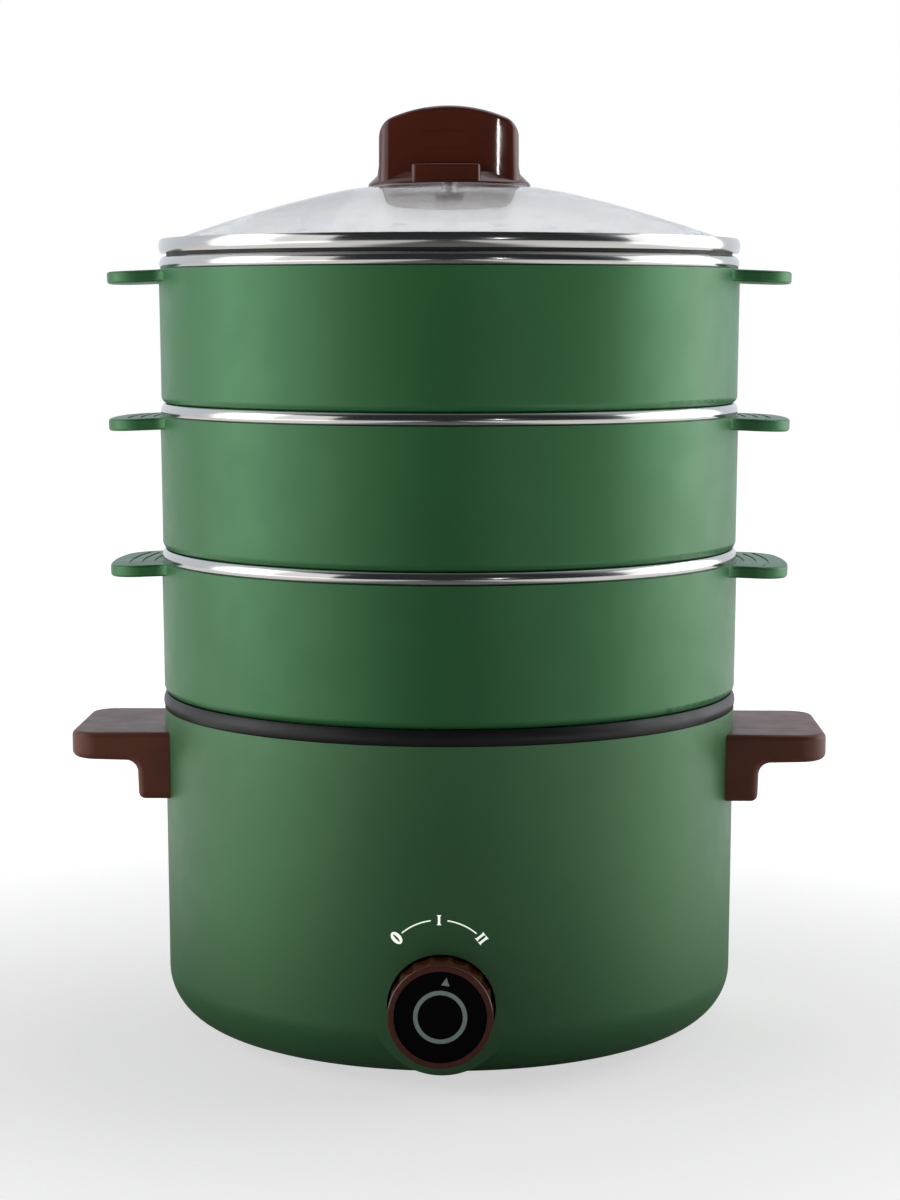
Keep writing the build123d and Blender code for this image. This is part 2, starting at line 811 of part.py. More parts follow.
with BuildPart() as shell_body:
    shoulder_top = shell_wall
    with BuildSketch(Plane.XZ):
        with BuildLine():
            corner_x = shell_low_radius - shell_corner_radius
            Polyline((skirt_radius, 0), (corner_x, 0))
            RadiusArc((corner_x, 0), (shell_low_radius, shell_corner_radius), -shell_corner_radius)
            Polyline(
                (shell_low_radius, shell_corner_radius),
                (shell_top_radius, shell_height),
                (shell_top_radius - shell_wall, shell_height),
                (shell_low_radius - shell_wall, shoulder_top + 1.4),
                (shell_low_radius - shell_wall - 1.4, shoulder_top),
                (skirt_radius - skirt_wall, shoulder_top),
                (skirt_radius - skirt_wall, -skirt_depth),
                (skirt_radius - 0.7, -skirt_depth),
                (skirt_radius, -skirt_depth + 1.4),
                (skirt_radius, 0),
            )
        make_face()
    revolve(axis=Axis.Z)
    add(right_ear.part)
    mirror(right_ear.part, about=Plane.YZ)

with BuildPart() as tray_body:
    tray_outer = mouth_radius + tray_wall
    mouth_round = 1.2
    band_low = band_radius - 0.7
    band_high = band_radius - 1.4
    band_fold = 0.9
    with BuildSketch(Plane.XZ):
        with BuildLine():
            rim_top = tier_pitch
            rim_low = tier_pitch - tray_wall
            band_middle = tier_pitch - 2.9
            floor_low = tray_floor_lift
            floor_high = tray_floor_lift + tray_wall
            wall_bottom = floor_high + tray_corner_radius - tray_wall
            wall_top = rim_top - mouth_round
            Line((mouth_radius, wall_bottom), (mouth_radius, wall_top))
            RadiusArc((mouth_radius, wall_top), (mouth_radius + mouth_round, rim_top), mouth_round)
            Line((mouth_radius + mouth_round, rim_top), (band_high, rim_top))
            ThreePointArc((band_high, rim_top), (band_radius, band_middle), (band_low, shell_height))
            Line((band_low, shell_height), (band_low - band_fold, shell_height))
            ThreePointArc(
                (band_low - band_fold, shell_height), (band_radius - band_fold, band_middle), (131.6, rim_low)
            )
            Polyline((131.6, rim_low), (tray_outer, rim_low), (tray_outer, floor_low + tray_corner_radius))
            RadiusArc(
                (tray_outer, floor_low + tray_corner_radius),
                (tray_outer - tray_corner_radius, floor_low),
                tray_corner_radius,
            )
            Polyline(
                (tray_outer - tray_corner_radius, floor_low),
                (0, floor_low),
                (0, floor_high),
                (tray_outer - tray_corner_radius, floor_high),
            )
            RadiusArc(
                (tray_outer - tray_corner_radius, floor_high),
                (mouth_radius, wall_bottom),
                -(tray_corner_radius - tray_wall),
            )
        make_face()
    revolve(axis=Axis.Z)
    with BuildSketch(Plane.XY.offset(tray_floor_lift - 1)):
        Circle(steam_hole_radius)
        for ring in range(1, steam_hole_rings + 1):
            with PolarLocations(ring * steam_ring_spacing, 6 * ring):
                Circle(steam_hole_radius)
    extrude(amount=3, mode=Mode.SUBTRACT)

for tier, seat in tier_seats.items():
    with BuildPart(Plane.XY.offset(seat)) as shell:
        add(shell_body.part)
    shell.part.label = f"{tier}_shell"
    export_step(shell.part, f"parts/{tier}_shell.step")
    with BuildPart(Plane.XY.offset(seat)) as tray:
        add(tray_body.part)
    tray.part.label = f"{tier}_tray"
    export_step(tray.part, f"parts/{tier}_tray.step")


# Lid: a domed glass in a folded steel edge, with a sealing ring under it

def dome_sine(radius):
    """Sine of the slope of the glass's top surface at a radius past the change of curve."""
    inner_part = (glass_curve_change - glass_crown_flat) / glass_inner_curve
    return inner_part + (radius - glass_curve_change) / glass_outer_curve


def dome_height(radius):
    """Height of the glass's top surface at a radius past the change of curve."""
    change_cosine = sqrt(1 - dome_sine(glass_curve_change) ** 2)
    inner_drop = glass_inner_curve * (1 - change_cosine)
    outer_drop = glass_outer_curve * (change_cosine - sqrt(1 - dome_sine(radius) ** 2))
    return glass_apex - inner_drop - outer_drop


change_angle = degrees(asin(dome_sine(glass_curve_change)))
slope_angle = change_angle - degrees(asin(dome_sine(glass_dome_radius)))
brim_top = lid_rim_top - 0.8
brim_bottom = brim_top - glass_thickness
glass_low = glass_apex - glass_thickness
vent_tilt = asin(dome_sine(vent_radius_from_axis))
vent_outwards = (*polar_point(sin(vent_tilt), vent_angle), cos(vent_tilt))
vent_plane = Plane(
    origin=(*polar_point(vent_radius_from_axis, vent_angle), dome_height(vent_radius_from_axis)),
    z_dir=vent_outwards,
)

with BuildPart() as lid_glass:
    with BuildSketch(Plane.XZ):
        with BuildLine():
            top_middle = JernArc((glass_crown_flat, glass_apex), (1, 0), glass_inner_curve, -change_angle)
            top_slope = JernArc(top_middle @ 1, top_middle % 1, glass_outer_curve, slope_angle)
            low_middle = JernArc(
                (glass_crown_flat, glass_low), (1, 0), glass_inner_curve - glass_thickness, -change_angle
            )
            low_slope = JernArc(
                low_middle @ 1, low_middle % 1, glass_outer_curve - glass_thickness, slope_angle
            )
            Polyline(
                top_slope @ 1,
                (glass_brim_radius, brim_top),
                (glass_edge_radius, brim_top),
                (glass_edge_radius, brim_bottom),
                (glass_brim_radius - 1.3, brim_bottom),
                low_slope @ 1,
            )
            Polyline((glass_crown_flat, glass_apex), (0, glass_apex), (0, glass_low))
            Line((0, glass_low), (glass_crown_flat, glass_low))
        make_face()
    revolve(axis=Axis.Z)
    with BuildSketch(Plane.XY.offset(glass_apex - 10)):
        Circle(4.2)
    extrude(amount=20, mode=Mode.SUBTRACT)
    with BuildSketch(vent_plane.offset(-6)):
        Circle(vent_hole_radius)
    extrude(amount=12, mode=Mode.SUBTRACT)
lid_glass.part.label = "lid_glass"
export_step(lid_glass.part, "parts/lid_glass.step")

fold = 0.8
fold_top = lid_rim_bottom + fold
fold_inner = 127.0
rim_inner = glass_edge_radius + 0.1
rim_lip = glass_brim_radius + 0.2
rim_middle = (lid_rim_bottom + lid_rim_top) / 2

with BuildPart() as lid_rim:
    with BuildSketch(Plane.XZ):
        with BuildLine():
            Polyline((133.0, lid_rim_bottom), (fold_inner, lid_rim_bottom), (fold_inner, fold_top))
            Polyline((fold_inner, fold_top), (rim_inner, fold_top), (rim_inner, brim_top))
            Polyline((rim_inner, brim_top), (rim_lip, brim_top), (rim_lip, lid_rim_top), (132.9, lid_rim_top))
            ThreePointArc((132.9, lid_rim_top), (lid_rim_radius, rim_middle), (133.0, lid_rim_bottom))
        make_face()
    revolve(axis=Axis.Z)
lid_rim.part.label = "lid_rim"
export_step(lid_rim.part, "parts/lid_rim.step")

skirt_bottom = lid_seat - 7.5
seal_outer = 130.2
seal_skirt_outer = 125.4
seal_skirt_inner = 123.6

with BuildPart() as lid_seal:
    with BuildSketch(Plane.XZ):
        with BuildLine():
            Polyline(
                (seal_skirt_outer, lid_seat),
                (seal_outer, lid_seat),
                (seal_outer, lid_rim_bottom),
                (seal_skirt_inner, lid_rim_bottom),
                (seal_skirt_inner, skirt_bottom),
                (seal_skirt_inner + 1.0, skirt_bottom),
                (seal_skirt_outer, skirt_bottom + 1.5),
                close=True,
            )
        make_face()
    revolve(axis=Axis.Z)
lid_seal.part.label = "lid_seal"
export_step(lid_seal.part, "parts/lid_seal.step")


# Knob of the lid: an upright grip on an oval foot, with a block in front, held by a screw from below

knob_base = knob_seat - 3
knob_waist = knob_base + 12
flange_edge = knob_seat + knob_flange_edge
flange_top = knob_seat + knob_flange_height
knob_screw_radius = 2.5
knob_screw_reach = 17.0
knob_gap = 0.1

with BuildPart() as lid_knob:
    with BuildSketch(Plane.XY.offset(knob_base)):
        with BuildLine():
            side_depth = knob_half_depth - knob_base_half_width ** 2 / (2 * knob_face_curve)
            left, right = -knob_base_half_width, knob_base_half_width
            ThreePointArc((left, -side_depth), (0, -knob_half_depth), (right, -side_depth))
            Line((right, -side_depth), (right, side_depth))
            ThreePointArc((right, side_depth), (0, knob_half_depth), (left, side_depth))
            Line((left, side_depth), (left, -side_depth))
        make_face()
        fillet(vertices(), knob_corner_radius)
    extrude(amount=50, taper=knob_taper)
    with BuildSketch(Plane.XZ.offset(-30)):
        with BuildLine():
            arch_end = knob_top - knob_arch_radius + sqrt(knob_arch_radius ** 2 - knob_half_width ** 2)
            ThreePointArc((-knob_half_width, arch_end), (0, knob_top), (knob_half_width, arch_end))
            Polyline(
                (knob_half_width, arch_end),
                (knob_half_width, knob_waist),
                (knob_half_width + 2, knob_base),
                (-knob_half_width - 2, knob_base),
                (-knob_half_width, knob_waist),
                (-knob_half_width, arch_end),
            )
        make_face()
        fillet(vertices().sort_by(Axis.Y)[-2:], knob_shoulder_radius)
    extrude(amount=60, mode=Mode.INTERSECT)
    top_edges = lid_knob.edges().filter_by(
        lambda e: e.center().Z > knob_waist + 2 and abs(e.center().Y) > 6
    )
    fillet(top_edges.filter_by(lambda e: e.bounding_box().min.Z > knob_top - 14), knob_top_edge)
    for line_height in grip_line_heights:
        face_depth = knob_half_depth - (line_height - knob_base) * tan(radians(knob_taper))
        with BuildSketch(front_plane(face_depth - grip_line_depth)):
            with Locations((0, line_height - dial_height)):
                SlotOverall(26, 1.2)
        extrude(amount=8, mode=Mode.SUBTRACT)
    with BuildSketch(Plane.XY.offset(knob_base)):
        Ellipse(knob_flange_half_width, knob_flange_half_depth)
    extrude(amount=flange_edge - knob_base)
    with BuildSketch(Plane.XY.offset(flange_edge)):
        Ellipse(knob_flange_half_width, knob_flange_half_depth)
    with BuildSketch(Plane.XY.offset(flange_top)):
        Ellipse(knob_flange_half_width - knob_flange_slope, knob_flange_half_depth - knob_flange_slope)
    loft(ruled=True)
    flange_edges = lid_knob.edges().filter_by(lambda e: abs(e.center().Z - flange_edge) < 0.01)
    fillet(flange_edges.sort_by(SortBy.LENGTH)[-1], knob_flange_round)
    with BuildSketch(Plane.XY.offset(knob_base)):
        Ellipse(knob_flange_half_width - 0.1, knob_flange_half_depth - 0.1)
        with Locations((knob_block_side, -knob_flange_half_depth)):
            Rectangle(knob_block_width, 2 * knob_block_depth, mode=Mode.INTERSECT)
        fillet(vertices().sort_by(Axis.Y)[:2], knob_block_corner)
    extrude(amount=knob_block_top - knob_base)
    block_top = lid_knob.edges().filter_by(lambda e: abs(e.center().Z - knob_block_top) < 0.01)
    fillet(block_top.filter_by(lambda e: e.center().Y < -knob_half_depth - 1), 0.8)
    with BuildSketch(Plane.XZ):
        with BuildLine():
            under_top = glass_apex + knob_gap
            under_low = knob_base - 5
            under_curve = JernArc(
                (glass_crown_flat, under_top), (1, 0), glass_inner_curve + knob_gap, -change_angle
            )
            Polyline(under_curve @ 1, ((under_curve @ 1).X, under_low), (0, under_low))
            Polyline((0, under_low), (0, under_top), (glass_crown_flat, under_top))
        make_face()
    revolve(axis=Axis.Z, mode=Mode.SUBTRACT)
    with BuildSketch(Plane.XY.offset(knob_base)):
        Circle(knob_screw_radius + screw_clearance)
    extrude(amount=knob_screw_reach + 1, mode=Mode.SUBTRACT)
lid_knob.part.label = "lid_knob"
export_step(lid_knob.part, "parts/lid_knob.step")

gasket_thickness = 1.2
gasket_top = glass_low - 0.1

with BuildPart() as knob_gasket:
    with BuildSketch(Plane.XY.offset(gasket_top - gasket_thickness)):
        Circle(9)
        Circle(2.9, mode=Mode.SUBTRACT)
    extrude(amount=gasket_thickness)
knob_gasket.part.label = "knob_gasket"
export_step(knob_gasket.part, "parts/knob_gasket.step")

with BuildPart() as knob_screw:
    head_top = gasket_top - gasket_thickness
    head_bottom = head_top - 2.4
    with BuildSketch(Plane.XY.offset(head_bottom)):
        Circle(6.5)
    extrude(amount=head_top - head_bottom)
    fillet(knob_screw.edges().group_by(Axis.Z)[0], 1.2)
    with BuildSketch(Plane.XY.offset(head_top)):
        Circle(knob_screw_radius)
    extrude(amount=knob_base + knob_screw_reach - head_top)
    with BuildSketch(Plane.XY.offset(head_bottom)):
        Rectangle(7, 1.2)
        Rectangle(1.2, 7)
    extrude(amount=1.2, mode=Mode.SUBTRACT)
knob_screw.part.label = "knob_screw"
export_step(knob_screw.part, "parts/knob_screw.step")


# Wires of the base, each swept along straight runs joined by arcs

def corner_radii(points):
    """Radius of each arc of a wire: 0.45 of its shorter run, over the tangent of half its turn."""
    radii = []
    for before, corner, after in zip(points, points[1:], points[2:]):
        run_in = Vector(corner) - Vector(before)
        run_out = Vector(after) - Vector(corner)
        half_turn = radians(run_in.get_angle(run_out) / 2)
        radii.append(0.45 * min(run_in.length, run_out.length) / tan(half_turn))
    return radii


def wire(name, points):
    """Round wire along a route, exported under its name, its arcs and volume printed."""
    radii = corner_radii(points)
    with BuildPart() as made:
        with BuildLine() as route:
            FilletPolyline(*points, radius=radii)
        with BuildSketch(Plane(origin=points[0], z_dir=Vector(points[1]) - Vector(points[0]))):
            Circle(wire_radius)
        sweep()
    share = made.part.volume / (pi * wire_radius ** 2 * route.wire().length)
    print(name, "arc radii", [round(radius, 1) for radius in radii], "volume share", round(share, 4))
    made.part.label = name
    export_step(made.part, f"parts/{name}.step")


blade_low = inlet_height - 1
blade_high = inlet_height + 3
tab_height = blade_height + 0.8
element_y = element_ends[1][1]

wire(
    "live_wire",
    [
        (-7, blade_back, blade_low),
        (-7, 94, blade_low),
        (-26, 72, 40),
        (fuse_x, 56, fuse_height),
        (fuse_x, fuse_back, fuse_height),
    ],
)
wire(
    "fuse_wire",
    [
        (fuse_x, fuse_front, fuse_height),
        (fuse_x, 9.5, fuse_height),
        (-23, 0, fuse_height),
        (-15, 0, fuse_height),
    ],
)
wire(
    "control_wire",
    [
        (15, 0, fuse_height),
        (26, 0, fuse_height),
        (32, -14, 40),
        (24, -40, 37),
        (4, -66, 36),
        (-switch_tab_x, -80, dial_height),
        (-switch_tab_x, -switch_tab_end, dial_height),
    ],
)
wire(
    "neutral_wire",
    [
        (7, blade_back, blade_low),
        (7, 95, blade_low),
        (18, 80, 32),
        (42, 72, 28),
        (70, 60, 28),
        (92, 42, 34),
        (98, 26, 40),
        (90, element_y, tab_height),
        (blade_end, element_y, tab_height),
    ],
)
wire(
    "element_wire",
    [
        (switch_tab_x, -switch_tab_end, dial_height),
        (switch_tab_x, -81, dial_height),
        (18, -68, 35),
        (40, -62, 30),
        (68, -54, 28),
        (92, -40, 34),
        (98, -26, 40),
        (90, -element_y, tab_height),
        (blade_end, -element_y, tab_height),
    ],
)
wire(
    "earth_wire",
    [
        (0, blade_back, blade_high),
        (0, 96, blade_high),
        (3, 80, 34),
        (14, 62, 27),
        (30, 52, earth_tag_height),
        (post_points[0][0], 45, earth_tag_height),
        (post_points[0][0], earth_tag_end, earth_tag_height),
    ],
)
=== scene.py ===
# %% [markdown]
# # An electric food steamer
# The real object is a round electric base with three steaming tiers and a glass
# lid stacked on it. Its solids come packed from the CAD model, already in place.
# This lesson keeps every solid as it is, gives each one its finish, and adds what
# is too thin to be worth a solid: the marks printed on the base and on the dial.

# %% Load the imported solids
import json
import math

import bpy
import numpy as np
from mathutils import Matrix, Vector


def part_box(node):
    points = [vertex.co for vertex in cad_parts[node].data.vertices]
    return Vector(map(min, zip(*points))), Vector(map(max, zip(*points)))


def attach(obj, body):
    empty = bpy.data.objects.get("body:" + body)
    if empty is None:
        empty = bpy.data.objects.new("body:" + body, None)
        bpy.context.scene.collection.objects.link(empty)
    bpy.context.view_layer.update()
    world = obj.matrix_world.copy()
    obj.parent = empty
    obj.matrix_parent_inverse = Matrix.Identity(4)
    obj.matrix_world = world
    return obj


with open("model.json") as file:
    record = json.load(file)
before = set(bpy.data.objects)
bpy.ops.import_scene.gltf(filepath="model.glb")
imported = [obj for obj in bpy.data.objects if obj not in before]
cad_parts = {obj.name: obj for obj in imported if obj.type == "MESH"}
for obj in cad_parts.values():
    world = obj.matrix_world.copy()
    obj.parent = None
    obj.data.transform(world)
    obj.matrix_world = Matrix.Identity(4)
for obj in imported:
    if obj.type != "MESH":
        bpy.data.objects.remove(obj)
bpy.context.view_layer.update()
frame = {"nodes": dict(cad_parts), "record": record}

nodes = frame["nodes"]

# %% [markdown]
# ## Helpers that every step uses
# Camera, lamps, floor and print all have to be put into the scene, and the room,
# the floor and every finish are made of shader nodes. These jobs come up again and
# again, so each gets a function.

# %% Put an object into the scene, and a node into a tree
white = (1, 1, 1, 1)


def put(name, data):
    """An object in the scene with this name, made of a mesh, a lamp or a camera."""
    made = bpy.data.objects.new(name, data)
    bpy.context.scene.collection.objects.link(made)
    return made


def add_node(tree, kind, values=None, **settings):
    """A node in a tree. Values belong to its sockets, by name, and settings to the node itself."""
    made = tree.nodes.new(kind)
    for name, value in settings.items():
        setattr(made, name, value)
    for socket, value in (values or {}).items():
        made.inputs[socket].default_value = value
    return made


def smooth_ramp(tree, first, last, low, high):
    """A node whose result eases from low to high while its value goes from first to last."""
    ends = {"From Min": first, "From Max": last, "To Min": low, "To Max": high}
    return add_node(tree, "ShaderNodeMapRange", ends, interpolation_type="SMOOTHSTEP")


# %% [markdown]
# ## The camera
# The photograph was taken from a little over a metre, slightly to the right and
# slightly above the middle of the stack. A fitted lens and place bring the round
# edges of every tier onto the ones in the picture, so no piece has to be bent to
# suit it. The picture is taller than wide, and Blender then lays the sensor's
# width along its height.

# %% Put the camera where the photograph was taken
picture_height = 1200
focal_pixels = 2629.0
shift_pixels = 0.65
sensor_width = 36.0
camera_distance = 1.2257
camera_height = 0.3335
camera_side = math.radians(1.5)
camera_pitch = math.radians(6.27)
nearest_seen = 0.01

camera_data = bpy.data.cameras.new("photo_camera")
camera_data.sensor_width = sensor_width
camera_data.lens = focal_pixels * sensor_width / picture_height
camera_data.clip_start = nearest_seen
camera_data.shift_x = shift_pixels / picture_height
camera = put("photo_camera", camera_data)
camera.location = (
    camera_distance * math.sin(camera_side),
    -camera_distance * math.cos(camera_side),
    camera_height,
)
camera.rotation_euler = (math.pi / 2 - camera_pitch, 0, camera_side)
bpy.context.scene.camera = camera
print("lens", round(camera_data.lens, 2), "mm")

# %% [markdown]
# ## The room
# A studio is white behind the object and dim towards the front, and polished steel
# shows that. So the world gives each kind of ray its own room. The camera sees
# plain white. Mirrored rays see a cool white that falls off from back to front.
# Rays through the glass see white, a little brighter for what the glass takes
# away. All the rest get a faint fill, because the lamps do the lighting.

# %% Give each kind of ray its room
mirror_colour = (0.86, 0.92, 1, 1)
front_edge, back_edge = -0.5, 0.3
front_strength, back_strength = 0.04, 0.95
through_strength = 1.25
fill_strength = 0.025

bpy.context.scene.view_settings.view_transform = "Standard"
world = bpy.data.worlds.new("studio")
bpy.context.scene.world = world
world.use_nodes = True
room = world.node_tree
room.nodes.clear()

rays = add_node(room, "ShaderNodeLightPath")
seen = add_node(room, "ShaderNodeBackground", {"Color": white})
through = add_node(room, "ShaderNodeBackground", {"Color": white, "Strength": through_strength})
fill = add_node(room, "ShaderNodeBackground", {"Color": white, "Strength": fill_strength})
mirrored = add_node(room, "ShaderNodeBackground", {"Color": mirror_colour})

direction = add_node(room, "ShaderNodeTexCoord")
split = add_node(room, "ShaderNodeSeparateXYZ")
behind = smooth_ramp(room, front_edge, back_edge, front_strength, back_strength)
room.links.new(direction.outputs["Generated"], split.inputs[0])
room.links.new(split.outputs["Y"], behind.inputs["Value"])
room.links.new(behind.outputs["Result"], mirrored.inputs["Strength"])


def choose(ray_kind, chosen, otherwise):
    """A mix that shows the chosen room to one kind of ray and the other room to all the rest."""
    mix = add_node(room, "ShaderNodeMixShader")
    room.links.new(rays.outputs[ray_kind], mix.inputs[0])
    room.links.new(otherwise.outputs[0], mix.inputs[1])
    room.links.new(chosen.outputs[0], mix.inputs[2])
    return mix


room_seen = choose("Is Glossy Ray", mirrored, fill)
room_seen = choose("Is Transmission Ray", through, room_seen)
room_seen = choose("Is Camera Ray", seen, room_seen)
world_output = add_node(room, "ShaderNodeOutputWorld")
room.links.new(room_seen.outputs[0], world_output.inputs[0])
print("room of", len(room.nodes), "nodes")

# %% [markdown]
# ## The lamps
# In the picture the green walls are dark in the middle and bright at both sides,
# so the light comes from tall soft lamps and screens at the sides, and one lamp
# above and behind. A narrow strip in front draws the thin line on the glossy knob.
# A lamp's power grows with its area, so each one is given by how bright it looks
# and not by its watts.

# %% Light the object
upright = math.pi / 2
facing_down = (0, 0, 0)


def soft_lamp(name, place, size, brightness):
    """Upright soft lamp that faces the object.

    Its place is a bearing in degrees from the front, a distance and a height. Its
    power is brightness times pi times width times height, so that 1 mirrors as
    white.
    """
    bearing, distance, height = place
    turn = math.radians(bearing)
    lamp = bpy.data.lights.new(name, "AREA")
    lamp.shape = "RECTANGLE"
    lamp.size, lamp.size_y = size
    lamp.energy = brightness * math.pi * size[0] * size[1]
    placed = put(name, lamp)
    placed.location = (distance * math.sin(turn), -distance * math.cos(turn), height)
    placed.rotation_euler = (upright, 0, turn)
    print(name, round(lamp.energy, 2), "W")
    return placed


soft_lamp("left_lamp", place=(-80, 1.4, 0.5), size=(0.6, 1.7), brightness=1.0)
soft_lamp("left_screen", place=(-72, 1.5, 0.5), size=(1.7, 1.7), brightness=1.15)
soft_lamp("right_lamp", place=(100, 1.4, 0.5), size=(0.6, 1.7), brightness=0.9)
soft_lamp("right_screen", place=(102, 1.5, 0.5), size=(1.7, 1.7), brightness=1.35)
soft_lamp("narrow_strip", place=(20, 1.5, 0.6), size=(0.016, 0.11), brightness=45.0)
top_lamp = soft_lamp("top_lamp", place=(150, 0.6, 1.7), size=(1.2, 1.2), brightness=1.2)
top_lamp.rotation_euler = facing_down

# %% [markdown]
# ## The floor
# A pale sheet under the object only has to look white and take a soft shadow. It
# is one large square, and it isn't part of the object.

# %% Lay the floor
floor_half = 6.0
floor_corners = [(-1, -1), (1, -1), (1, 1), (-1, 1)]
floor_points = [(x * floor_half, y * floor_half, 0) for x, y in floor_corners]
floor_mesh = bpy.data.meshes.new("floor")
floor_mesh.from_pydata(floor_points, [], [(0, 1, 2, 3)])
floor = put("floor", floor_mesh)
print("floor", 2 * floor_half, "m across")

# %% [markdown]
# Part of the floor's light is its own, so that it reaches white without more
# lamps, and the rest comes from the room, which is the part that a shadow can dim.
# To the camera its own light is a little weaker near the object, where the shadow
# lies, and full further out. Everything else gets light from it only at the left
# and right, where the side lamps would pour most of theirs on a real table, so
# what the walls of the base mirror of it is bright at the sides only.

# %% White floor with a soft shadow
floor_grey = (0.5, 0.5, 0.5, 1)
floor_roughness = 0.9
shadow_reach, white_reach = 0.15, 0.7
shadow_glow, white_glow = 0.6, 1.0
spill_start, spill_end = 0.2, 0.45
spill_glow = 0.8

floor_finish = bpy.data.materials.new("floor_white")
floor_finish.use_nodes = True
floor_tree = floor_finish.node_tree
floor_shader = floor_tree.nodes["Principled BSDF"]
floor_shader.inputs["Base Color"].default_value = floor_grey
floor_shader.inputs["Roughness"].default_value = floor_roughness
floor_shader.inputs["Emission Color"].default_value = white

floor_place = add_node(floor_tree, "ShaderNodeTexCoord")
floor_split = add_node(floor_tree, "ShaderNodeSeparateXYZ")
from_centre = add_node(floor_tree, "ShaderNodeVectorMath", operation="LENGTH")
to_the_side = add_node(floor_tree, "ShaderNodeMath", operation="ABSOLUTE")
seen_glow = smooth_ramp(floor_tree, shadow_reach, white_reach, shadow_glow, white_glow)
spilt_glow = smooth_ramp(floor_tree, spill_start, spill_end, 0.0, spill_glow)
floor_rays = add_node(floor_tree, "ShaderNodeLightPath")
floor_glow = add_node(floor_tree, "ShaderNodeMix")
for start, end in [
    (floor_place.outputs["Object"], from_centre.inputs[0]),
    (from_centre.outputs["Value"], seen_glow.inputs["Value"]),
    (floor_place.outputs["Object"], floor_split.inputs[0]),
    (floor_split.outputs["X"], to_the_side.inputs[0]),
    (to_the_side.outputs[0], spilt_glow.inputs["Value"]),
    (floor_rays.outputs["Is Camera Ray"], floor_glow.inputs["Factor"]),
    (spilt_glow.outputs["Result"], floor_glow.inputs["A"]),
    (seen_glow.outputs["Result"], floor_glow.inputs["B"]),
    (floor_glow.outputs["Result"], floor_shader.inputs["Emission Strength"]),
]:
    floor_tree.links.new(start, end)
floor_mesh.materials.append(floor_finish)
print("floor glow", shadow_glow, "to", white_glow)

# %% [markdown]
# ## How every finish is made
# Each finish starts as one Principled shader with the plain colour and roughness
# of the real stuff. It goes on every solid whose record names the same material
# slot, so one finish serves three tiers at once.

# %% Start a finish, and dress the solids in it
slot_of = {part["node"]: part["material_slot"] for part in frame["record"]["subparts"]}
dressed = set()


def shader_of(finish):
    """The Principled shader of a finish."""
    return finish.node_tree.nodes["Principled BSDF"]


def new_finish(name, colour, roughness, metallic=0.0, more=None):
    """A material whose shader starts with one colour, roughness and share of metal.

    More of the shader's sockets can be set by name.
    """
    made = bpy.data.materials.new(name)
    made.use_nodes = True
    plain = {"Base Color": (*colour, 1), "Roughness": roughness, "Metallic": metallic}
    for socket, value in {**plain, **(more or {})}.items():
        shader_of(made).inputs[socket].default_value = value
    return made


def dress(finish, slot_name):
    """Gives a finish to every solid whose record names the slot."""
    names = [name for name in nodes if slot_of[name] == slot_name]
    for name in names:
        for material_slot in nodes[name].material_slots:
            material_slot.material = finish
    dressed.update(names)
    print(finish.name, "on", ", ".join(sorted(names)))


def shade(colour, factor):
    """A colour made lighter or darker by one factor."""
    return tuple(part * factor for part in colour)


# %% [markdown]
# Textures then add what the eye expects at that scale: moulding grain, orange
# peel, polishing lines. They read Object coordinates. A solid's object sits at the
# origin, so one unit of these coordinates is a metre, and a noise scale of 1000
# gives grains a millimetre wide.

# %% Patterns on Object coordinates


def pattern_node(finish, kind, values, stretch=(1, 1, 1), **settings):
    """A texture node on Object coordinates, finer along an axis whose stretch is larger."""
    tree = finish.node_tree
    place = add_node(tree, "ShaderNodeTexCoord")
    mapping = add_node(tree, "ShaderNodeMapping", {"Scale": stretch})
    texture = add_node(tree, kind, values, **settings)
    tree.links.new(place.outputs["Object"], mapping.inputs["Vector"])
    tree.links.new(mapping.outputs["Vector"], texture.inputs["Vector"])
    return texture


def noise(finish, scale, detail, stretch=(1, 1, 1)):
    """Cloudy pattern whose grains are one over the scale in metres wide."""
    values = {"Scale": scale, "Detail": detail}
    return pattern_node(finish, "ShaderNodeTexNoise", values, stretch).outputs["Fac"]


# %% [markdown]
# A pattern can move three things here: the roughness, the colour, and the way the
# surface faces. Noise seldom leaves the middle of its range, so that middle is what
# gets spread between the two ends.

# %% What a pattern moves
noise_middle = (0.3, 0.7)
tint_middle = (0.35, 0.65)


def vary(finish, pattern, low, high):
    """Lets a pattern move the roughness in a straight line from low to high."""
    tree = finish.node_tree
    ends = {"From Min": noise_middle[0], "From Max": noise_middle[1], "To Min": low, "To Max": high}
    spread = add_node(tree, "ShaderNodeMapRange", ends)
    tree.links.new(pattern, spread.inputs["Value"])
    tree.links.new(spread.outputs["Result"], shader_of(finish).inputs["Roughness"])


def tint(finish, pattern, first, second, ends=tint_middle):
    """Lets a pattern move the base colour from the first colour to the second between two ends."""
    tree = finish.node_tree
    ramp = add_node(tree, "ShaderNodeValToRGB")
    for stop, position, colour in zip(ramp.color_ramp.elements, ends, (first, second)):
        stop.position = position
        stop.color = (*colour, 1)
    tree.links.new(pattern, ramp.inputs["Fac"])
    tree.links.new(ramp.outputs["Color"], shader_of(finish).inputs["Base Color"])


def relief(finish, pattern, height, strength):
    """Adds a bump of a height in metres on top of the bumps that the finish already has."""
    tree = finish.node_tree
    bump = add_node(tree, "ShaderNodeBump", {"Strength": strength, "Distance": height})
    normal = shader_of(finish).inputs["Normal"]
    if normal.is_linked:
        tree.links.new(normal.links[0].from_socket, bump.inputs["Normal"])
    tree.links.new(pattern, bump.inputs["Height"])
    tree.links.new(bump.outputs["Normal"], normal)


